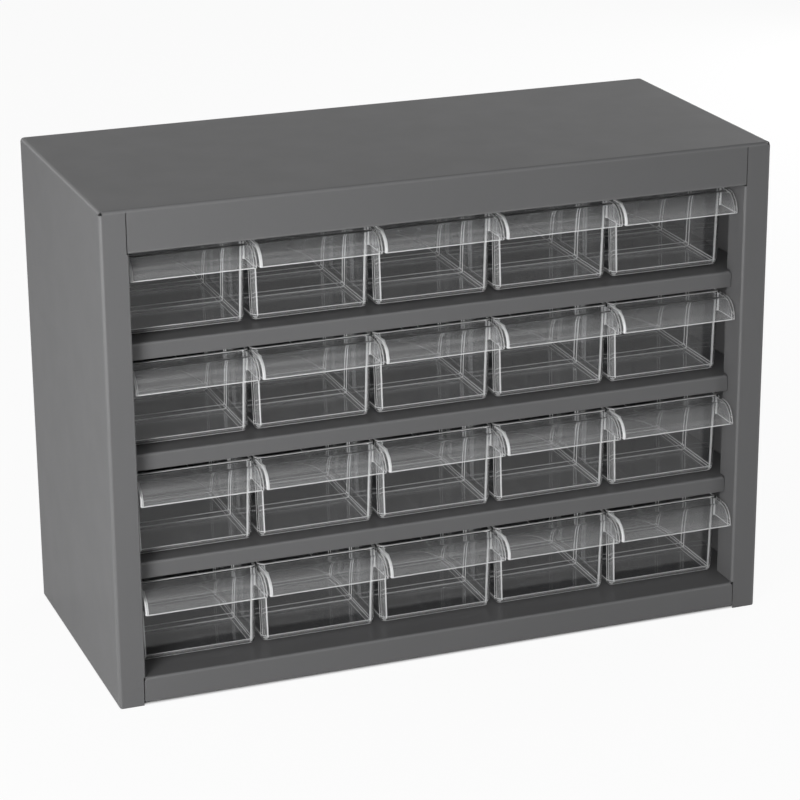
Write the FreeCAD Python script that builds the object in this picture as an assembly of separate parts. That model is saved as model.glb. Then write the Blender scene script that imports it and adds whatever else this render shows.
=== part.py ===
import FreeCAD, Part
import math
import os

from FreeCAD import Vector

# Parts bin cabinet: a folded sheet steel carcass with three shelves and twenty
# clear moulded drawers, four rows of five. Millimetres, +Z up, front towards -Y,
# origin in the middle of the footprint at the height of the surface it stands on.

# Overall size of the carcass
cabinet_width = 438.0
cabinet_depth = 192.0
cabinet_height = 318.0

# Sheet steel and its folds
sheet = 0.9
casing_fold_radius = 2.0
corner_relief = 2.2
inner_fold_radius = 1.5
overrun = 3.0
point_tolerance = 0.001

# Front frame, rear frame and feet of the casing
flange_width = 16.0
return_depth = 21.0
return_foot_gap = 0.5
header_height = 27.0
header_return_depth = 10.0
seam_gap = 0.6
rear_flange_width = 10.0
foot_flange_width = 12.0

# Base panel and shelves
base_lip_height = 16.1
base_lip_ground_gap = 2.4
base_lip_corner_radius = 3.0
shelf_lip_height = 10.5
shelf_lip_setback = 14.1
shelf_lip_corner_radius = 2.2
shelf_side_flange_height = 9.0
shelf_end_gap = 0.5
shelf_clearance = 0.5

# Layout of the drawers
row_count = 4
column_count = 5
row_setbacks = (5.4, 4.2, 1.8, 0.0)
hood_gap = 1.4
outer_hood_gap = 1.5
drawer_headroom = 4.75
drawer_back_gap = 1.0

# Moulded drawer
drawer_wall = 1.8
drawer_floor = 1.8
drawer_side_draft = 1.4
drawer_bottom_radius = 4.5
drawer_inner_bevel = 1.6
drawer_upright_radius = 4.0
hood_reach = 22.0
hood_drop = 14.2
hood_radius = 12.5
hood_wall = 1.7
hood_cap_wall = 1.5

# Divider slots in the drawer: pairs of ribs on the walls and ridges on the floor
slot_count = 3
slot_width = 2.6
rib_thickness = 1.3
rib_depth = 1.0
front_ridge_height = 1.7
rear_ridge_height = 3.2
front_compartment_share = 0.243
slot_pitch_share = 0.249

# Places worked out from the sizes above
front_y = -cabinet_depth / 2
back_y = cabinet_depth / 2
side_x = cabinet_width / 2
header_low_z = cabinet_height - header_height
return_face_x = side_x - flange_width - inner_fold_radius
base_top_z = base_lip_ground_gap + base_lip_height
back_plate_front_y = back_y - 2 * sheet
row_pitch = (header_low_z + shelf_lip_height - base_top_z) / row_count
hood_width = (2 * return_face_x - 2 * outer_hood_gap - (column_count - 1) * hood_gap) / column_count
column_pitch = hood_width + hood_gap
drawer_height = row_pitch - shelf_lip_height - drawer_headroom
drawer_top_half = hood_width / 2
drawer_bottom_half = drawer_top_half - drawer_side_draft
closed_setback = max(row_setbacks)
drawer_length = back_plate_front_y - drawer_back_gap - front_y - closed_setback - hood_reach


def on_front(y):
    """Maps an outline drawn as (x, z) to the upright plane at depth y."""
    return lambda u, v: Vector(u, y, v)


def on_side(x):
    """Maps an outline drawn as (y, z) to the upright plane at x."""
    return lambda u, v: Vector(x, u, v)


def on_plan(z):
    """Maps an outline drawn as (x, y) to the level plane at height z."""
    return lambda u, v: Vector(u, v, z)


def outline(points, radii, place):
    """Closed wire through the points, with each corner rounded by its own radius."""
    corners = []
    for index, (u, v) in enumerate(points):
        corner = Vector(u, v, 0)
        before = Vector(*points[index - 1], 0) - corner
        after = Vector(*points[(index + 1) % len(points)], 0) - corner
        before.normalize()
        after.normalize()
        radius = radii[index]
        if radius == 0:
            corners.append((corner, None, corner))
            continue
        half_angle = before.getAngle(after) / 2
        reach = radius / math.tan(half_angle)
        bisector = before + after
        bisector.normalize()
        middle = corner + bisector * (radius / math.sin(half_angle) - radius)
        corners.append((corner + before * reach, middle, corner + after * reach))
    edges = []
    for index, (start, middle, end) in enumerate(corners):
        previous_end = corners[index - 1][2]
        if previous_end.distanceToPoint(start) > point_tolerance:
            edges.append(Part.makeLine(place(previous_end.x, previous_end.y), place(start.x, start.y)))
        if middle is not None:
            arc = [place(p.x, p.y) for p in (start, middle, end)]
            edges.append(Part.Arc(*arc).toShape())
    return Part.Wire(edges)


def folded_section(path, fold_radius, place):
    """Face of a sheet folded at right angles, its outer line given, its thickness to the left."""
    steps = [Vector(*b, 0) - Vector(*a, 0) for a, b in zip(path, path[1:])]
    normals = []
    for step in steps:
        step.normalize()
        normals.append(Vector(-step.y, step.x, 0) * sheet)
    inner = []
    for index, point in enumerate(path):
        shift = Vector()
        if index > 0:
            shift += normals[index - 1]
        if index < len(steps):
            shift += normals[index]
        inner.append((point[0] + shift.x, point[1] + shift.y))
    folds = len(path) - 2
    radii = [0] + [fold_radius] * folds + [0, 0] + [fold_radius - sheet] * folds + [0]
    return Part.Face(outline(list(path) + inner[::-1], radii, place))


def block(x_range, y_range, z_range):
    """Box between two values along each axis."""
    low = Vector(x_range[0], y_range[0], z_range[0])
    size = [high - low_end for low_end, high in (x_range, y_range, z_range)]
    return Part.makeBox(*size, low)


def both_sides(shape):
    """The shape and its mirror image on the other side of the middle plane."""
    return [shape, shape.mirror(Vector(), Vector(1, 0, 0))]


def rounded_block(inset, fold_radius):
    """The casing's envelope, moved in by the inset, with every fold rounded."""
    body = block(
        (inset - side_x, side_x - inset),
        (front_y + inset, back_y - inset),
        (inset, cabinet_height - inset),
    )
    folds = []
    for edge in body.Edges:
        start, end = edge.Vertexes[0].Point, edge.Vertexes[1].Point
        level_along_x = abs(start.x - end.x) > sheet
        low = max(start.z, end.z) < sheet + inset
        if not (level_along_x and low):
            folds.append(edge)
    return body.makeFillet(fold_radius, folds)


def casing():
    """Top, sides, front frame, rear frame and feet, folded from one sheet."""
    shell = rounded_block(0, casing_fold_radius)
    shell = shell.cut(rounded_block(sheet, casing_fold_radius - sheet))
    opening_half = side_x - flange_width
    front_skin = (front_y - overrun, front_y + casing_fold_radius)
    rear_skin = (back_y - casing_fold_radius, back_y + overrun)
    cuts = [
        block((-opening_half, opening_half), front_skin, (-overrun, header_low_z)),
        block(
            (rear_flange_width - side_x, side_x - rear_flange_width),
            rear_skin,
            (-overrun, cabinet_height - rear_flange_width),
        ),
        block(
            (foot_flange_width - side_x, side_x - foot_flange_width),
            (front_y + sheet, back_y - sheet),
            (-overrun, casing_fold_radius),
        ),
    ]
    relief_low = cabinet_height - corner_relief
    for y_range in ((front_y - overrun, front_y + corner_relief), (back_y - corner_relief, back_y + overrun)):
        relief = block(
            (side_x - corner_relief, side_x + overrun),
            y_range,
            (relief_low, cabinet_height + overrun),
        )
        cuts.extend(both_sides(relief))
    seam = block(
        (opening_half - seam_gap, opening_half),
        front_skin,
        (header_low_z - overrun, cabinet_height - casing_fold_radius),
    )
    shell = shell.cut(cuts + both_sides(seam))
    side_return_path = [
        (opening_half, front_y),
        (return_face_x, front_y),
        (return_face_x, front_y + return_depth),
    ]
    return_low_z = base_top_z + return_foot_gap
    side_return = folded_section(side_return_path[::-1], inner_fold_radius, on_plan(return_low_z))
    side_return = side_return.extrude(Vector(0, 0, header_low_z - return_foot_gap - return_low_z))
    header_return_path = [
        (front_y + header_return_depth, header_low_z),
        (front_y, header_low_z),
        (front_y, header_low_z + casing_fold_radius),
    ]
    header_half = opening_half - seam_gap
    header_return = folded_section(header_return_path[::-1], inner_fold_radius, on_side(-header_half))
    header_return = header_return.extrude(Vector(2 * header_half, 0, 0))
    header_trim = block(
        (-header_half, header_half),
        front_skin,
        (header_low_z, header_low_z + casing_fold_radius),
    )
    shell = shell.cut(header_trim)
    return shell.fuse(both_sides(side_return) + [header_return]).removeSplitter()


def folded_shelf(top_z, lip_y, lip_height, lip_half, lip_corner_radius, wide_y):
    """Level panel with a lip turned down in front and a flange turned down at each side."""
    plate_half = side_x - sheet
    flange_low_z = top_z - shelf_side_flange_height
    wide_path = [
        (plate_half, flange_low_z),
        (plate_half, top_z),
        (-plate_half, top_z),
        (-plate_half, flange_low_z),
    ]
    wide_part = folded_section(wide_path, inner_fold_radius, on_front(wide_y))
    wide_part = wide_part.extrude(Vector(0, back_plate_front_y - wide_y, 0))
    lip_path = [
        (wide_y + inner_fold_radius, top_z),
        (lip_y, top_z),
        (lip_y, top_z - lip_height),
    ]
    lip = folded_section(lip_path, inner_fold_radius, on_side(-lip_half))
    lip = lip.extrude(Vector(2 * lip_half, 0, 0))
    corner = block(
        (lip_half - lip_corner_radius, lip_half + overrun),
        (lip_y - overrun, lip_y + inner_fold_radius),
        (top_z - lip_corner_radius, top_z + overrun),
    )
    rounding = Part.makeCylinder(
        lip_corner_radius,
        2 * overrun + inner_fold_radius,
        Vector(lip_half - lip_corner_radius, lip_y - overrun, top_z - lip_corner_radius),
        Vector(0, 1, 0),
    )
    lip = lip.cut(both_sides(corner.cut(rounding)))
    return wide_part.fuse(lip).removeSplitter()


def base_panel():
    """Floor of the lowest row, its lip flush with the front frame."""
    return folded_shelf(
        base_top_z,
        front_y,
        base_lip_height,
        side_x - flange_width - seam_gap,
        base_lip_corner_radius,
        front_y + casing_fold_radius + shelf_clearance,
    )


def shelf(row):
    """Shelf under the given row of drawers, its lip set back between the side returns."""
    return folded_shelf(
        shelf_top_z(row),
        front_y + shelf_lip_setback,
        shelf_lip_height,
        return_face_x - shelf_end_gap,
        shelf_lip_corner_radius,
        front_y + return_depth + shelf_clearance,
    )


def back_panel():
    """Flat sheet welded inside the rear frame."""
    half = side_x - casing_fold_radius
    return block(
        (-half, half),
        (back_plate_front_y, back_plate_front_y + sheet),
        (sheet, cabinet_height - casing_fold_radius),
    )


def shelf_top_z(row):
    """Height that the drawers of a row stand on, row 1 being the top one."""
    return base_top_z + (row_count - row) * row_pitch


def drawer_half_width(z):
    """Half the drawer's outer width at height z: the side walls lean outwards by the draft."""
    return drawer_bottom_half + drawer_side_draft * z / drawer_height


def drafted_block(y_range, z_range, inset):
    """Block between the drafted side walls, and its four upright edges."""
    low_half, high_half = (drawer_half_width(z) - inset for z in z_range)
    points = [
        (-low_half, z_range[0]),
        (low_half, z_range[0]),
        (high_half, z_range[1]),
        (-high_half, z_range[1]),
    ]
    section = Part.Face(outline(points, [0] * len(points), on_front(y_range[0])))
    body = section.extrude(Vector(0, y_range[1] - y_range[0], 0))
    uprights = [edge for edge in body.Edges if edge.BoundBox.ZLength > z_range[1] - z_range[0] - overrun]
    return body, uprights


def drawer_envelope():
    """Drafted block with round upright corners, its lower side edges rounded as well."""
    section = [
        (-drawer_half_width(0), 0),
        (drawer_half_width(0), 0),
        (drawer_half_width(drawer_height), drawer_height),
        (-drawer_half_width(drawer_height), drawer_height),
    ]
    face = Part.Face(outline(section, [drawer_bottom_radius, drawer_bottom_radius, 0, 0], on_front(0)))
    rounded = face.extrude(Vector(0, drawer_length, 0))
    sharp, uprights = drafted_block((0, drawer_length), (0, drawer_height), 0)
    return rounded.common(sharp.makeFillet(drawer_upright_radius, uprights))


def drawer_space(y_range, inset, low_z, bevel):
    """Room inside the drawer between two depths, with its lower side edges bevelled."""
    open_z = drawer_height + overrun
    low_half = drawer_half_width(low_z) - inset
    bevel_half = drawer_half_width(low_z + bevel) - inset
    open_half = drawer_half_width(open_z) - inset
    points = [
        (-low_half + bevel, low_z),
        (low_half - bevel, low_z),
        (bevel_half, low_z + bevel),
        (open_half, open_z),
        (-open_half, open_z),
        (-bevel_half, low_z + bevel),
    ]
    if bevel == 0:
        points = [points[0], points[1], points[3], points[4]]
    section = Part.Face(outline(points, [0] * len(points), on_front(y_range[0])))
    return section.extrude(Vector(0, y_range[1] - y_range[0], 0))


def drawer_box():
    """Open moulded box with draft, rounded corners and three divider slots."""
    cuts = []
    starts = [drawer_wall]
    ends = []
    for slot in range(slot_count):
        slot_y = drawer_length * (front_compartment_share + slot * slot_pitch_share)
        front_rib = (slot_y, slot_y + rib_thickness)
        rear_rib = (front_rib[1] + slot_width, front_rib[1] + slot_width + rib_thickness)
        for rib, ridge_height in ((front_rib, front_ridge_height), (rear_rib, rear_ridge_height)):
            cuts.append(drawer_space(rib, drawer_wall + rib_depth, drawer_floor + ridge_height, 0))
            ends.append(rib[0])
            starts.append(rib[1])
    ends.append(drawer_length - drawer_wall)
    room, uprights = drafted_block(
        (drawer_wall, drawer_length - drawer_wall),
        (drawer_floor, drawer_height + overrun),
        drawer_wall,
    )
    room = room.makeChamfer(drawer_inner_bevel, uprights)
    for start, end in zip(starts, ends):
        between_ribs = end - start < slot_width + point_tolerance
        bevel = 0 if between_ribs else drawer_inner_bevel
        cuts.append(drawer_space((start, end), drawer_wall, drawer_floor, bevel).common(room))
    return drawer_envelope().cut(cuts)


def drawer_hood():
    """Full-width pull that curves forward and down from the front wall, closed at its ends."""
    hood_half = hood_width / 2
    low_z = drawer_height - hood_drop
    outer_points = [
        (drawer_wall, low_z),
        (drawer_wall, drawer_height),
        (-hood_reach, drawer_height),
        (-hood_reach, low_z),
    ]
    outer_face = Part.Face(outline(outer_points, [0, 0, hood_radius, 0], on_side(-hood_half)))
    outer = outer_face.extrude(Vector(2 * hood_half, 0, 0))
    pocket_half = hood_half - hood_cap_wall
    pocket_front = hood_wall - hood_reach
    pocket_points = [
        (0, low_z - overrun),
        (0, drawer_height - hood_wall),
        (pocket_front, drawer_height - hood_wall),
        (pocket_front, low_z - overrun),
    ]
    pocket_radii = [0, 0, hood_radius - hood_wall, 0]
    pocket_face = Part.Face(outline(pocket_points, pocket_radii, on_side(-pocket_half)))
    pocket = pocket_face.extrude(Vector(2 * pocket_half, 0, 0))
    cheek = block((pocket_half, hood_half), (0, drawer_upright_radius), (low_z, drawer_height))
    return outer.cut(pocket).fuse(both_sides(cheek))


def drawer():
    """One moulded drawer, its front wall's outer face at y = 0 and its underside at z = 0."""
    return drawer_box().fuse(drawer_hood()).removeSplitter()


def drawer_place(row, column):
    """Where a drawer stands: rows count down from the top, columns from the left."""
    x = (column - (column_count + 1) / 2) * column_pitch
    y = front_y + row_setbacks[row - 1] + hood_reach
    return Vector(x, y, shelf_top_z(row))


def build():
    """All the pieces by name."""
    pieces = {"casing": casing(), "base_panel": base_panel(), "back_panel": back_panel()}
    for row in range(1, row_count):
        pieces[f"shelf_{row}"] = shelf(row)
    moulding = drawer()
    for row in range(1, row_count + 1):
        for column in range(1, column_count + 1):
            piece = moulding.copy()
            piece.translate(drawer_place(row, column))
            pieces[f"drawer_row{row}_column{column}"] = piece
    return pieces


os.makedirs("parts", exist_ok=True)
for name, shape in build().items():
    shape.exportStep(f"parts/{name}.step")
    print(name, shape.isValid(), len(shape.Solids), round(shape.Volume, 1))
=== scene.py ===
"""A folded steel parts cabinet with clear moulded drawers, dressed for a studio photograph."""

import math

import bmesh
import bpy
import numpy as np
from mathutils import Euler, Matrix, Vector

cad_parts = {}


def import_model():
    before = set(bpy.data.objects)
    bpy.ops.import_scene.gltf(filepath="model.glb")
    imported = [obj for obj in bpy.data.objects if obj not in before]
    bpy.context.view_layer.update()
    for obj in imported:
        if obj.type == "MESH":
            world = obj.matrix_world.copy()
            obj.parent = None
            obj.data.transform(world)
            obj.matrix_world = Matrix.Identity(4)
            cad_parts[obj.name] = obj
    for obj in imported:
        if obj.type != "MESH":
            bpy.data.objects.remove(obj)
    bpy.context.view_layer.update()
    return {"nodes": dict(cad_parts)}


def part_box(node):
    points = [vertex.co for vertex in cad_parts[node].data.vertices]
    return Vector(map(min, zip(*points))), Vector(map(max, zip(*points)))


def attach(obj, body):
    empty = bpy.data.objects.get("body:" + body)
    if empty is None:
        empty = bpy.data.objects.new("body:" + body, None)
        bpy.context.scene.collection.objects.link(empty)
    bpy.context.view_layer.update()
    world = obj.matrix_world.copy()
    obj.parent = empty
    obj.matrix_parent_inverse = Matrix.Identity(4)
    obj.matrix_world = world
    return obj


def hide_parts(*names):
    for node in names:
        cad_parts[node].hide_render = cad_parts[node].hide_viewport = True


MM = 0.001

# Camera and light, in metres and watts
CAMERA_PLACE = (-0.61999, -1.65142, 0.76769)
CAMERA_ANGLES = (70.478, 0.3675, -20.815)
LENS = 128.44
SENSOR_WIDTH = 36
FAR_CLIP = 50
AMBIENT = 0.155
FLOOR_LIFT = 0.94
FLOOR_MIRRORED = 0.2
CABINET_HALF_WIDTH = 0.219
CABINET_HALF_DEPTH = 0.096
CONTACT_SHADE = 0.004
CEILING_TONE = 0.3
CEILING_FADE = (0.12, 0.42)
FLOOR_HALF = 12
LAMPS = {
    # name: place, aim, width, height and power
    "key": ((-0.92, -0.98, 0.42), (-0.1, 0, 0.16), 0.45, 0.8, 13.2),
    "right_strip": ((1.0, -1.2, 0.5), (0, 0, 0.16), 0.05, 1.0, 1.7),
    "left_fill": ((-1.6, -0.25, 0.4), (-0.22, 0, 0.16), 1.0, 1.0, 6.6),
    "back_fill": ((1.5, 1.0, 0.45), (0.1, 0.1, 0.16), 1.0, 0.8, 18),
    "top": ((0, -0.9, 1.5), (0, 0, 0.2), 1.5, 0.8, 2.4),
}
CLEAR_BOUNCES = 24
SHADOW_BOUNCES = 48

# Satin enamel: name, tone and gloss of the clear coat, for faces and for folds; the folds' paler tone
# is a painted highlight along the bends
ENAMELS = (("grey_enamel", 0.128, 0.2), ("grey_enamel_fold_painted_highlight", 0.143, 0.7))
ENAMEL_TONE_SPREAD = 0.002
ENAMEL_ROUGHNESS = (0.4, 0.45)
ENAMEL_SPECULAR = 0.1
COAT_ROUGHNESS = 0.12

# Patterns: features per metre and levels of detail, and reliefs: strength and depth in metres
CLOUDS = (9, 3)
GLOSS_PATCHES = (35, 4)
ORANGE_PEEL = (900, 2)
PEEL_RELIEF = (0.1, 0.0001)
FLOW_PATCHES = (60, 3)
FLOW_LINES = (45, 2)
FLOW_RELIEF = (0.08, 0.0004)
PAPER_PATCHES = (3, 2)

# Clear plastic: name, share that passes light and least roughness, for walls, round corners,
# fine edges and pulls; the whitish share that does not pass light paints highlights on corners
# and fine edges and a reflection veil on pulls
PLASTIC_TONE = (0.95, 0.955, 0.96)
PLASTIC_SHADOW = 0.87
PLASTIC_IOR = 1.41
PLASTIC_FINISHES = (
    ("clear_plastic", 0.998, 0.01),
    ("clear_plastic_corner_painted_highlight", 0.93, 0.04),
    ("clear_plastic_edge_painted_highlight", 0.4, 0.06),
    ("clear_plastic_pull_painted_reflection", 0.952, 0.03),
)
# Face widths in millimetres below which a face is a tight curve or a fine edge, and the share of the
# drawer's length from the front that carries the painted highlights and reflection veil
CURVED_FACE = 1.5
FINE_FACE = 0.36
MARKED_SHARE = 0.55

# Which faces of round corners are painted highlight lines: bounds of the normal's part across or
# upwards
UPRIGHT_UP = 0.2
CORNER_START = 0.15
CORNER_END = 0.97
LOWER_EDGE_UP = (-0.7, -0.55)
FLOOR_START_UP = (0.05, 0.2)
FLOOR_END_UP = (0.97, 0.999)
RIM_UP = 0.9

# The drawer's sizes in millimetres, near those of its solid
WALL = 1.8
FLOOR = 1.8
SIDE_DRAFT = 1.4
UPRIGHT_RADIUS = 4.0
BOTTOM_RADIUS = 4.5
HOOD_REACH = 22.0
HOOD_DROP = 13.4
HOOD_RADIUS = 12.0
HOOD_WALL = 1.7
HOOD_CAP_WALL = 1.5
RIB_THICKNESS = 1.3
RIB_DEPTH = 1.0
SLOT_WIDTH = 2.6
RIDGE_HEIGHTS = (1.7, 3.2)
SLOT_SHARES = (0.243, 0.492, 0.741)

# Finer sizes of the moulding that only show close up
FOOT_GAP = 0.08
RIM_DROP = 1.2
EDGE_RADIUS = 0.45
RIM_BEAD = 0.5
HOOD_CORNER = 1.0
HOOD_SEAT = 1.2
HOLLOW_SEAT = 0.5
HOLLOW_CORNER = 0.7
CHEEK_GAP = 0.03
EMBED = 0.6
RIB_HEADROOM = 0.5
RIB_ROUNDING = 0.4
RIDGE_CORNER = 0.8

# Steps of the drawer's quarter rounds
CORNER_STEPS = 9
BOTTOM_STEPS = 9
FLOOR_STEPS = 8
RIM_STEPS = 5
PULL_STEPS = 19
PULL_CORNER_STEPS = 6
CHEEK_STEPS = 4
BAND_STEPS = 7
BAND_EDGE_STEPS = 4

# Fine edges of the folded sheet, and the width below which a face belongs to a fold or a cut edge and
# takes the paler fold enamel, a painted highlight
CUT_EDGE = 0.18
FOLD_FACE = 1.3
SMOOTH_BELOW = 35
ROUNDED_ABOVE = 50
SAME_POINT = 0.002
FLAT_WITHIN = 0.5


def closed_shell(rings):
    """Mesh data of a closed surface: rings of equal length joined in order, with a flat face on
    the first and the last.
    """
    rings = np.asarray(rings, float)
    count, around = rings.shape[:2]
    index = np.arange(count * around).reshape(count, around)
    step = np.roll(index, -1, axis=1)
    quads = np.stack([index[:-1], step[:-1], step[1:], index[1:]], axis=-1).reshape(-1, 4)
    faces = quads.tolist() + [index[0][::-1].tolist(), index[-1].tolist()]
    return rings.reshape(-1, 3), faces


def rounded_rectangle(half, y_low, y_high, radius, corner_steps, middle=0):
    """Level ring of a rectangle with round corners: each corner is a quarter circle of the radius."""
    turn = np.linspace(0, math.pi / 2, corner_steps) + np.arange(4)[:, None] * math.pi / 2
    x_corner = (half - radius) * np.array([1, -1, -1, 1])
    y_corner = np.array([y_high - radius, y_high - radius, y_low + radius, y_low + radius])
    x = x_corner[:, None] + radius * np.cos(turn)
    y = y_corner[:, None] + radius * np.sin(turn)
    return middle + x.ravel(), y.ravel()


def quarter(start, end, steps, bulge):
    """Points of a quarter ellipse from start to end in (inset, height): the axis that bulge names
    grows by the sine of the turn, the other one by one minus its cosine.
    """
    t = np.linspace(0, math.pi / 2, steps)
    (a0, b0), (a1, b1) = start, end
    if bulge == "inset":
        return np.c_[a0 + (a1 - a0) * np.sin(t), b0 + (b1 - b0) * (1 - np.cos(t))]
    return np.c_[a0 + (a1 - a0) * (1 - np.cos(t)), b0 + (b1 - b0) * np.sin(t)]


def drawer_sizes(frame_box):
    """Width at the top, length and height of a drawer's box, read from its solid."""
    low, high = (np.array(c) / MM for c in frame_box)
    size = high - low
    return {"half": size[0] / 2, "length": size[1] - HOOD_REACH, "height": size[2] - RIM_DROP}


def half_width(sizes, z):
    """Outer half width of the drawer's walls: it grows with height by the draft."""
    return sizes["half"] - SIDE_DRAFT + SIDE_DRAFT * z / sizes["height"]


def tray(sizes):
    """Open box: a wall profile (inset, height) carried round a rounded rectangle.

    The profile runs from the underside, round the bottom edge, up the outer wall, over the
    rounded rim and down the inner wall to the floor. The upright corners keep one centre.
    """
    height = sizes["height"]
    inner_radius = BOTTOM_RADIUS - WALL
    profile = np.concatenate([
        quarter((BOTTOM_RADIUS, FOOT_GAP), (0, BOTTOM_RADIUS), BOTTOM_STEPS, "inset"),
        [[0, height * 0.5]],
        quarter((0, height - EDGE_RADIUS), (EDGE_RADIUS, height), RIM_STEPS, "height"),
        quarter((WALL - EDGE_RADIUS, height), (WALL, height - EDGE_RADIUS), RIM_STEPS, "inset"),
        [[WALL, height * 0.5]],
        quarter((WALL, FLOOR + inner_radius), (WALL + inner_radius, FLOOR), FLOOR_STEPS, "height"),
    ])
    rings = []
    for inset, z in profile:
        radius = max(UPRIGHT_RADIUS - inset, EDGE_RADIUS)
        half = half_width(sizes, z) - inset
        x, y = rounded_rectangle(half, inset, sizes["length"] - inset, radius, CORNER_STEPS)
        rings.append(np.c_[x, y, np.full_like(x, z)])
    return closed_shell(rings)


def hood(sizes):
    """Pull hood: an upturned tray whose front follows a quarter circle in side view.

    The profile runs from the top face down the curved front to the lower rim, then up the
    hollow to its ceiling. The top lies a little below the walls' rim.
    """
    top = sizes["height"] - RIM_BEAD
    low = sizes["height"] - HOOD_DROP
    inner = HOOD_RADIUS - HOOD_WALL
    cap = HOOD_CAP_WALL
    turn = np.radians(np.linspace(90, 0, PULL_STEPS))
    back_up = turn[::-1][:-1]
    round_off = np.linspace(0, math.pi / 2, RIM_STEPS)
    outer_z = top - HOOD_RADIUS + HOOD_RADIUS * np.sin(turn)
    hollow_z = top - HOOD_RADIUS + inner * np.sin(back_up)
    ceiling = top - HOOD_WALL
    near_top = np.clip((outer_z - top + EDGE_RADIUS) / EDGE_RADIUS, 0, 1)
    outer_side = EDGE_RADIUS * (1 - np.sqrt(1 - near_top**2))
    near_ceiling = np.clip((hollow_z - ceiling + HOLLOW_CORNER) / HOLLOW_CORNER, 0, 1)
    hollow_side = cap + HOLLOW_CORNER * near_ceiling**2
    lower_out = EDGE_RADIUS * (1 - np.cos(round_off))
    lower_in = lower_out[::-1]
    lower_z = low + EDGE_RADIUS * (1 - np.sin(round_off))
    z = np.r_[outer_z, lower_z, lower_z[::-1], hollow_z, ceiling]
    front = -HOOD_REACH + np.r_[
        HOOD_RADIUS * (1 - np.cos(turn)),
        lower_out,
        HOOD_WALL - lower_in,
        HOOD_WALL + inner * (1 - np.cos(back_up)),
        HOOD_WALL + inner,
    ]
    side = np.r_[outer_side, lower_out, cap - lower_in, hollow_side, cap + HOLLOW_CORNER]
    outside = len(turn) + len(round_off)
    rings = []
    for number, level in enumerate(z):
        rear, radius = (HOOD_SEAT, HOOD_CORNER) if number < outside else (HOLLOW_SEAT, HOLLOW_CORNER)
        half = sizes["half"] - side[number]
        x, y = rounded_rectangle(half, front[number], rear, radius, PULL_CORNER_STEPS)
        rings.append(np.c_[x, y, np.full_like(x, level)])
    return closed_shell(rings)


def cheek(sizes, hand):
    """Block that fills the round corner of the wall behind a hood's end, up to the hood's top."""
    half = HOOD_CAP_WALL / 2
    middle = hand * (sizes["half"] - half - CHEEK_GAP)
    below_rim = [HOOD_DROP - CHEEK_GAP, HOOD_DROP - EDGE_RADIUS, RIM_BEAD + CHEEK_GAP]
    levels = sizes["height"] - np.array(below_rim)
    rings = []
    for level, pull_in in zip(levels, (EDGE_RADIUS / 2, 0, 0)):
        rear = UPRIGHT_RADIUS - pull_in
        x, y = rounded_rectangle(half - pull_in, HOLLOW_SEAT, rear, EDGE_RADIUS, CHEEK_STEPS, middle)
        rings.append(np.c_[x, y, np.full_like(x, level)])
    return closed_shell(rings)


def slot_band(sizes, y_low, ridge_height):
    """One member of a slot: a thin band down one wall, over the floor and up the other wall.

    The band lies between two lines in the cross-section, one inside the wall's thickness and
    one that stands proud of it by the rib's depth on the walls and the ridge's height on the
    floor. Its free edges are round.
    """
    height = sizes["height"] - RIB_HEADROOM
    turn = np.linspace(0, math.pi / 2, BAND_STEPS)
    wall_z = np.array([height, height * 0.5])

    def half_section(inset, floor_z, radius):
        """Points down the wall and round the corner to the floor, for the right side."""
        corner_x = half_width(sizes, floor_z + radius) - inset - radius * (1 - np.cos(turn))
        corner_z = floor_z + radius * (1 - np.sin(turn))
        return np.c_[np.r_[half_width(sizes, wall_z) - inset, corner_x], np.r_[wall_z, corner_z]]

    buried = half_section(WALL - EMBED, FLOOR - EMBED, BOTTOM_RADIUS - WALL + EMBED)
    free = half_section(WALL + RIB_DEPTH, FLOOR + ridge_height, RIDGE_CORNER)
    mirror = np.array([-1, 1])
    buried = np.r_[buried * mirror, buried[::-1]]
    free = np.r_[free * mirror, free[::-1]]
    arc = np.linspace(0, math.pi / 2, BAND_EDGE_STEPS)
    proud = np.linalg.norm(free - buried, axis=1)
    rise = RIB_ROUNDING * (1 - np.cos(arc))
    section_y = np.r_[0, rise, RIB_THICKNESS - rise[::-1], RIB_THICKNESS]
    pull_back = RIB_ROUNDING * (1 - np.sin(np.r_[arc, arc[::-1]]))
    rings = []
    for inner_point, outer_point, reach in zip(buried, free, proud):
        share = np.r_[0, 1 - pull_back / reach, 0]
        xz = inner_point + (outer_point - inner_point) * share[:, None]
        rings.append(np.c_[xz[:, 0], y_low + section_y, xz[:, 1]])
    return closed_shell(rings)


def new_mesh(name, data):
    """A mesh from points in millimetres and faces."""
    points, faces = data
    mesh = bpy.data.meshes.new(name)
    mesh.from_pydata((np.asarray(points) * MM).tolist(), [], faces)
    mesh.update()
    return mesh


def linked(name, mesh):
    """A new object that shows the mesh."""
    piece = bpy.data.objects.new(name, mesh)
    bpy.context.scene.collection.objects.link(piece)
    return piece


def turned_outwards(mesh):
    """Recalculates the mesh's normals so that they point out of the solid."""
    work = bmesh.new()
    work.from_mesh(mesh)
    bmesh.ops.recalc_face_normals(work, faces=work.faces)
    work.to_mesh(mesh)
    work.free()
    return mesh


def face_widths(mesh):
    """Width of each face: its area over its longest side."""
    points = np.empty(len(mesh.vertices) * 3)
    mesh.vertices.foreach_get("co", points)
    ends = np.empty(len(mesh.edges) * 2, int)
    mesh.edges.foreach_get("vertices", ends)
    side_of = np.empty(len(mesh.loops), int)
    mesh.loops.foreach_get("edge_index", side_of)
    starts = np.empty(len(mesh.polygons), int)
    mesh.polygons.foreach_get("loop_start", starts)
    area = np.empty(len(mesh.polygons))
    mesh.polygons.foreach_get("area", area)
    span = points.reshape(-1, 3)[ends.reshape(-1, 2)]
    length = np.linalg.norm(span[:, 0] - span[:, 1], axis=1)
    return area / np.maximum.reduceat(length[side_of], starts)


def between(values, bounds):
    """True where a value lies between two bounds."""
    return (values > bounds[0]) & (values < bounds[1])


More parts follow.
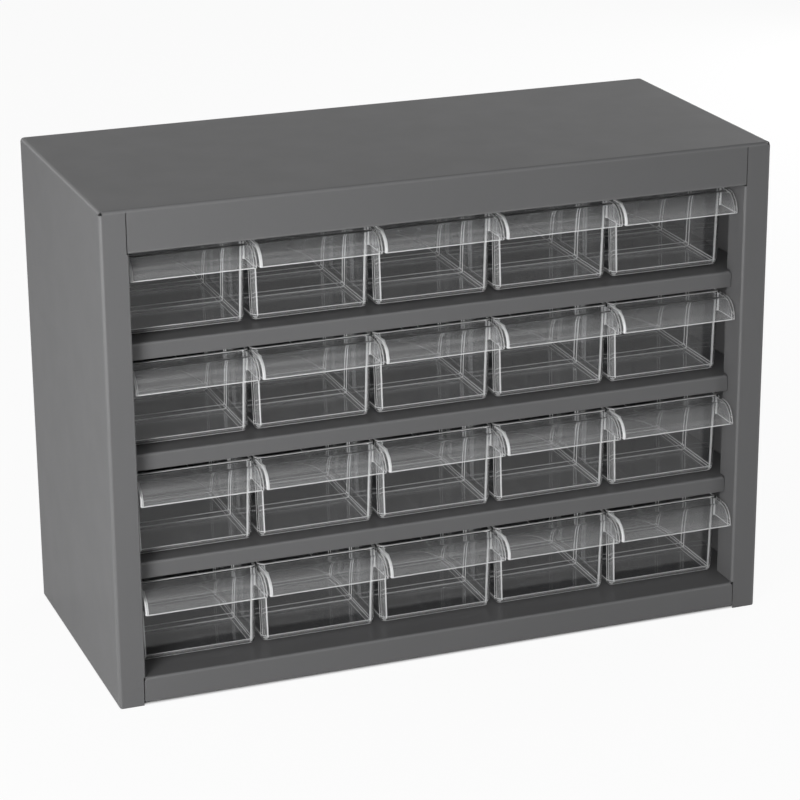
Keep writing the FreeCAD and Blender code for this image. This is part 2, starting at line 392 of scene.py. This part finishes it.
def mark_edges(mesh, sizes):
    """Numbers each face by its finish: 0 wall, 1 tight curve, 2 bright line and 3 pull.

    Fine roundings are lines. So are the rows of faces where a round corner starts and ends,
    one row in the middle of the lower edge, and the flat of the rim. Finishes 1 to 3 scatter a
    whitish share of the light: on tight curves and lines that paints highlights, and on the pull
    a painted reflection veil. Only the front part of the drawer, up to the marked share of its
    length, is marked; further back every face is a plain wall.
    """
    count = len(mesh.polygons)
    centre = np.empty(count * 3)
    normal = np.empty(count * 3)
    mesh.polygons.foreach_get("center", centre)
    mesh.polygons.foreach_get("normal", normal)
    x, y, z = centre.reshape(-1, 3).T / MM
    across, _, up = normal.reshape(-1, 3).T
    across = np.abs(across)
    width = face_widths(mesh) / MM
    curved = (width < CURVED_FACE) & (y >= 0)
    upright = (np.abs(up) < UPRIGHT_UP) & (np.abs(x) > sizes["half"] - UPRIGHT_RADIUS - SIDE_DRAFT)
    near_end = (y < UPRIGHT_RADIUS) | (y > sizes["length"] - UPRIGHT_RADIUS)
    corner_limits = upright & near_end & ((across < CORNER_START) | (across > CORNER_END))
    low_zone = z < FLOOR + BOTTOM_RADIUS
    lower_edge = low_zone & between(up, LOWER_EDGE_UP)
    floor_limits = low_zone & (between(up, FLOOR_START_UP) | between(up, FLOOR_END_UP))
    rim = (up > RIM_UP) & (z > sizes["height"] - EDGE_RADIUS)
    line = (width < FINE_FACE) | (curved & (corner_limits | lower_edge | floor_limits | rim))
    pull = y < -CHEEK_GAP
    kind = np.where(line, 2, np.where(curved, 1, np.where(pull, 3, 0)))
    kind[y > MARKED_SHARE * sizes["length"]] = 0
    mesh.polygons.foreach_set("material_index", kind.astype(np.int32))


def drawer_mesh(sizes):
    """The whole moulding as one closed surface: tray, hood and slot bands united."""
    parts = [tray(sizes), hood(sizes), cheek(sizes, -1), cheek(sizes, 1)]
    for share in SLOT_SHARES:
        front = share * sizes["length"]
        parts.append(slot_band(sizes, front, RIDGE_HEIGHTS[0]))
        parts.append(slot_band(sizes, front + RIB_THICKNESS + SLOT_WIDTH, RIDGE_HEIGHTS[1]))
    body, *rest = [
        linked("moulding", turned_outwards(new_mesh("moulding", part))) for part in parts
    ]
    for other in rest:
        union = body.modifiers.new("union", "BOOLEAN")
        union.operation = "UNION"
        union.solver = "EXACT"
        union.object = other
    graph = bpy.context.evaluated_depsgraph_get()
    united = bpy.data.meshes.new_from_object(body.evaluated_get(graph))
    for piece in [body, *rest]:
        bpy.data.objects.remove(piece)
    united.shade_smooth()
    united.set_sharp_from_angle(angle=math.radians(SMOOTH_BELOW))
    mark_edges(united, sizes)
    return united


def sheet_mesh(node):
    """A copy of a sheet's mesh: corners merged, flat faces whole, folds smooth and numbered 1."""
    mesh = node.data.copy()
    work = bmesh.new()
    work.from_mesh(mesh)
    bmesh.ops.remove_doubles(work, verts=work.verts, dist=SAME_POINT * MM)
    bmesh.ops.dissolve_limit(
        work,
        angle_limit=math.radians(FLAT_WITHIN),
        use_dissolve_boundaries=False,
        verts=work.verts,
        edges=work.edges,
    )
    work.to_mesh(mesh)
    work.free()
    mesh.shade_smooth()
    mesh.set_sharp_from_angle(angle=math.radians(SMOOTH_BELOW))
    mesh.materials.clear()
    # Fold and cut-edge faces get the paler fold enamel: a painted highlight along the bends and edges
    narrow = face_widths(mesh) / MM < FOLD_FACE
    mesh.polygons.foreach_set("material_index", narrow.astype(np.int32))
    return mesh


def shader(name):
    """A new material with its node tree, its surface shader and its object coordinates."""
    material = bpy.data.materials.new(name)
    material.use_nodes = True
    nodes = material.node_tree.nodes
    place = nodes.new("ShaderNodeTexCoord")
    return material, material.node_tree, nodes["Principled BSDF"], place.outputs["Object"]


def noise(tree, place, scale, detail):
    """Smooth noise over the object's own coordinates, in features per metre."""
    node = tree.nodes.new("ShaderNodeTexNoise")
    node.inputs["Scale"].default_value = scale
    node.inputs["Detail"].default_value = detail
    tree.links.new(place, node.inputs["Vector"])
    return node.outputs["Fac"]


def spread(tree, value, low, high):
    """Stretches the middle of a noise's range to lie between two values."""
    node = tree.nodes.new("ShaderNodeMapRange")
    node.inputs["From Min"].default_value = 0.3
    node.inputs["From Max"].default_value = 0.7
    node.inputs["To Min"].default_value = low
    node.inputs["To Max"].default_value = high
    tree.links.new(value, node.inputs["Value"])
    return node.outputs["Result"]


def two_tones(tree, value, first, second):
    """Mixes two colours by a value."""
    node = tree.nodes.new("ShaderNodeMix")
    node.data_type = "RGBA"
    node.inputs["A"].default_value = (*first, 1)
    node.inputs["B"].default_value = (*second, 1)
    tree.links.new(value, node.inputs["Factor"])
    return node.outputs["Result"]


def relief(tree, value, surface, strength, depth):
    """Bump of a depth in metres from a value."""
    node = tree.nodes.new("ShaderNodeBump")
    node.inputs["Strength"].default_value = strength
    node.inputs["Distance"].default_value = depth
    tree.links.new(value, node.inputs["Height"])
    tree.links.new(node.outputs["Normal"], surface.inputs["Normal"])


def either_of(tree, *values):
    """The largest of some light path outputs, so one if any of them is."""
    result = values[0]
    for value in values[1:]:
        node = tree.nodes.new("ShaderNodeMath")
        node.operation = "MAXIMUM"
        tree.links.new(result, node.inputs[0])
        tree.links.new(value, node.inputs[1])
        result = node.outputs["Value"]
    return result


def times(tree, value, factor):
    """A value times a plain factor or another value."""
    node = tree.nodes.new("ShaderNodeMath")
    node.operation = "MULTIPLY"
    tree.links.new(value, node.inputs[0])
    if isinstance(factor, float):
        node.inputs[1].default_value = factor
    else:
        tree.links.new(factor, node.inputs[1])
    return node.outputs["Value"]


def seen_as_background(tree, mirrored):
    """One where the camera or a clear body sees the surface, the mirrored value in a reflection,
    and zero where it lights the object.
    """
    rays = tree.nodes.new("ShaderNodeLightPath")
    reflected = times(tree, rays.outputs["Is Glossy Ray"], mirrored)
    straight = [rays.outputs["Is Camera Ray"], rays.outputs["Is Transmission Ray"]]
    looks = either_of(tree, *straight, reflected)
    direct = tree.nodes.new("ShaderNodeMath")
    direct.operation = "LESS_THAN"
    direct.inputs[1].default_value = 0.5
    tree.links.new(rays.outputs["Diffuse Depth"], direct.inputs[0])
    return times(tree, looks, direct.outputs["Value"])


def shader_mix(tree, factor, first, second, output):
    """Mixes two shaders by a factor into the output's surface."""
    node = tree.nodes.new("ShaderNodeMixShader")
    tree.links.new(factor, node.inputs[0])
    tree.links.new(first, node.inputs[1])
    tree.links.new(second, node.inputs[2])
    tree.links.new(node.outputs["Shader"], tree.nodes[output].inputs["Surface"])


def grey_enamel(name, tone, gloss):
    """Baked satin enamel: faint cloudiness, a fine orange peel and slightly uneven gloss."""
    material, tree, surface, place = shader(name)
    cloud = spread(tree, noise(tree, place, *CLOUDS), 0, 1)
    low, high = tone - ENAMEL_TONE_SPREAD, tone + ENAMEL_TONE_SPREAD
    darker, paler = ((level, level, level + ENAMEL_TONE_SPREAD) for level in (low, high))
    tree.links.new(two_tones(tree, cloud, darker, paler), surface.inputs["Base Color"])
    unevenness = spread(tree, noise(tree, place, *GLOSS_PATCHES), *ENAMEL_ROUGHNESS)
    tree.links.new(unevenness, surface.inputs["Roughness"])
    surface.inputs["Specular IOR Level"].default_value = ENAMEL_SPECULAR
    surface.inputs["Coat Weight"].default_value = gloss
    surface.inputs["Coat Roughness"].default_value = COAT_ROUGHNESS
    relief(tree, noise(tree, place, *ORANGE_PEEL), surface, *PEEL_RELIEF)
    return material


def clear_plastic(name, clearness, low_gloss):
    """Water-clear moulded plastic with a faint flow pattern, which lets light through.

    The clearness is the share that passes light: the rest scatters it as a whitish colour. On
    walls that is a faint haze; on tight corners and fine edges it paints highlights, and on the
    pull a reflection veil.
    """
    material, tree, surface, place = shader(name)
    surface.inputs["Base Color"].default_value = (*PLASTIC_TONE, 1)
    surface.inputs["Transmission Weight"].default_value = clearness
    surface.inputs["IOR"].default_value = PLASTIC_IOR
    unevenness = spread(tree, noise(tree, place, *FLOW_PATCHES), low_gloss, low_gloss + 0.04)
    tree.links.new(unevenness, surface.inputs["Roughness"])
    relief(tree, noise(tree, place, *FLOW_LINES), surface, *FLOW_RELIEF)
    through = tree.nodes.new("ShaderNodeBsdfTransparent")
    through.inputs["Color"].default_value = (PLASTIC_SHADOW, PLASTIC_SHADOW, PLASTIC_SHADOW, 1)
    rays = tree.nodes.new("ShaderNodeLightPath")
    lights_others = either_of(tree, rays.outputs["Is Shadow Ray"], rays.outputs["Is Diffuse Ray"])
    shader_mix(tree, lights_others, surface.outputs["BSDF"], through.outputs["BSDF"], "Material Output")
    return material


def studio_floor():
    """Pale paper floor: its own colour where it is lit, lifted towards white where it is seen."""
    material, tree, surface, place = shader("studio_floor")
    tone = spread(tree, noise(tree, place, *PAPER_PATCHES), 0, 1)
    paper = two_tones(tree, tone, (0.86, 0.86, 0.86), (0.88, 0.88, 0.88))
    tree.links.new(paper, surface.inputs["Base Color"])
    surface.inputs["Roughness"].default_value = 0.9
    surface.inputs["Specular IOR Level"].default_value = 0.1
    glow = tree.nodes.new("ShaderNodeEmission")
    parts = tree.nodes.new("ShaderNodeSeparateXYZ")
    tree.links.new(place, parts.inputs["Vector"])
    outside = []
    for axis, half in (("X", CABINET_HALF_WIDTH), ("Y", CABINET_HALF_DEPTH)):
        far = tree.nodes.new("ShaderNodeMath")
        far.operation = "ABSOLUTE"
        tree.links.new(parts.outputs[axis], far.inputs[0])
        beyond = tree.nodes.new("ShaderNodeMapRange")
        beyond.inputs["From Min"].default_value = half - CONTACT_SHADE
        beyond.inputs["From Max"].default_value = half
        tree.links.new(far.outputs["Value"], beyond.inputs["Value"])
        outside.append(beyond.outputs["Result"])
    open_floor = times(tree, either_of(tree, *outside), FLOOR_LIFT)
    lift = times(tree, seen_as_background(tree, FLOOR_MIRRORED), open_floor)
    shader_mix(tree, lift, surface.outputs["BSDF"], glow.outputs["Emission"], "Material Output")
    return material


def studio_world():
    """White where it is seen, and a softer, even light on the object."""
    world = bpy.data.worlds.new("studio")
    bpy.context.scene.world = world
    world.use_nodes = True
    tree = world.node_tree
    light = tree.nodes["Background"]
    light.inputs["Color"].default_value = (1, 1, 1, 1)
    light.inputs["Strength"].default_value = AMBIENT
    seen = tree.nodes.new("ShaderNodeBackground")
    seen.inputs["Color"].default_value = (1, 1, 1, 1)
    direction = tree.nodes.new("ShaderNodeTexCoord")
    parts = tree.nodes.new("ShaderNodeSeparateXYZ")
    fade = tree.nodes.new("ShaderNodeMapRange")
    fade.inputs["From Min"].default_value = CEILING_FADE[0]
    fade.inputs["From Max"].default_value = CEILING_FADE[1]
    fade.inputs["To Min"].default_value = 1
    fade.inputs["To Max"].default_value = CEILING_TONE
    tree.links.new(direction.outputs["Generated"], parts.inputs["Vector"])
    tree.links.new(parts.outputs["Z"], fade.inputs["Value"])
    tree.links.new(fade.outputs["Result"], seen.inputs["Strength"])
    white = seen_as_background(tree, 1.0)
    shader_mix(tree, white, light.outputs["Background"], seen.outputs["Background"], "World Output")


def soft_lamp(name, place, aim, width, height, power):
    """Rectangular soft box at a place in metres, turned to its aim."""
    lamp = bpy.data.lights.new(name, "AREA")
    lamp.shape = "RECTANGLE"
    lamp.size = width
    lamp.size_y = height
    lamp.energy = power
    holder = bpy.data.objects.new(name, lamp)
    bpy.context.scene.collection.objects.link(holder)
    holder.location = place
    holder.rotation_euler = (Vector(aim) - Vector(place)).to_track_quat("-Z", "Y").to_euler()


def studio_camera():
    """The photograph's viewing angle."""
    camera = bpy.data.cameras.new("camera")
    camera.sensor_width = SENSOR_WIDTH
    camera.lens = LENS
    camera.clip_end = FAR_CLIP
    holder = bpy.data.objects.new("camera", camera)
    bpy.context.scene.collection.objects.link(holder)
    holder.location = CAMERA_PLACE
    holder.rotation_euler = Euler([math.radians(angle) for angle in CAMERA_ANGLES])
    bpy.context.scene.camera = holder


def level_plane(name, half, z):
    """Square level sheet, cut into a grid of nine points."""
    side = np.linspace(-half, half, 3)
    x, y = np.meshgrid(side, side)
    index = np.arange(9).reshape(3, 3)
    faces = np.stack([index[:-1, :-1], index[:-1, 1:], index[1:, 1:], index[1:, :-1]], axis=-1)
    mesh = bpy.data.meshes.new(name)
    points = np.c_[x.ravel(), y.ravel(), np.full(9, z)]
    mesh.from_pydata(points.tolist(), [], faces.reshape(-1, 4).tolist())
    return linked(name, mesh)


def moved_copy(mesh, name, place):
    """A copy of a mesh with its points moved, in metres."""
    copy = mesh.copy()
    copy.name = name
    points = np.empty(len(copy.vertices) * 3, np.float32)
    copy.vertices.foreach_get("co", points)
    copy.vertices.foreach_set("co", (points.reshape(-1, 3) + np.asarray(place, np.float32)).ravel())
    copy.update()
    return copy


def dress_sheets(nodes, enamels):
    """A smooth-folded piece with fine cut edges for each folded sheet, in both enamels."""
    for name, node in nodes.items():
        piece = linked(f"enamelled_{name}", sheet_mesh(node))
        # The second enamel is paler and paints a highlight on the folds and cut edges
        for finish in enamels:
            piece.data.materials.append(finish)
        edges = piece.modifiers.new("cut_edges", "BEVEL")
        edges.width = CUT_EDGE * MM
        edges.segments = 2
        edges.limit_method = "ANGLE"
        edges.angle_limit = math.radians(ROUNDED_ABOVE)
        weighted = piece.modifiers.new("flat_faces_first", "WEIGHTED_NORMAL")
        weighted.keep_sharp = True
        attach(piece, "carcass")
        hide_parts(name)


def dress_drawers(nodes, plastic):
    """One moulding for each drawer, all alike."""
    moulding = drawer_mesh(drawer_sizes(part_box(sorted(nodes)[0])))
    for finish in plastic:
        moulding.materials.append(finish)
    for name in nodes:
        low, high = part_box(name)
        place = ((low[0] + high[0]) / 2, low[1] + HOOD_REACH * MM, low[2])
        piece = linked(name.replace("drawer", "moulding"), moved_copy(moulding, name, place))
        weighted = piece.modifiers.new("flat_faces_first", "WEIGHTED_NORMAL")
        weighted.keep_sharp = True
        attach(piece, name)
        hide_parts(name)


def main():
    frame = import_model()
    enamels = [grey_enamel(*finish) for finish in ENAMELS]
    plastic = [clear_plastic(*finish) for finish in PLASTIC_FINISHES]
    drawers = {name: node for name, node in frame["nodes"].items() if name.startswith("drawer")}
    sheets = {name: node for name, node in frame["nodes"].items() if name not in drawers}
    for name, node in frame["nodes"].items():
        node.data.materials.clear()
        node.data.materials.append(plastic[0] if name in drawers else enamels[0])
    dress_sheets(sheets, enamels)
    dress_drawers(drawers, plastic)
    floor = level_plane("floor", FLOOR_HALF, 0)
    floor.data.materials.append(studio_floor())
    studio_world()
    for name, lamp in LAMPS.items():
        soft_lamp(name, *lamp)
    studio_camera()
    bpy.context.scene.view_settings.view_transform = "Standard"
    bpy.context.scene.cycles.transparent_max_bounces = SHADOW_BOUNCES
    bpy.context.scene.cycles.max_bounces = CLEAR_BOUNCES
    bpy.context.scene.cycles.transmission_bounces = CLEAR_BOUNCES


main()
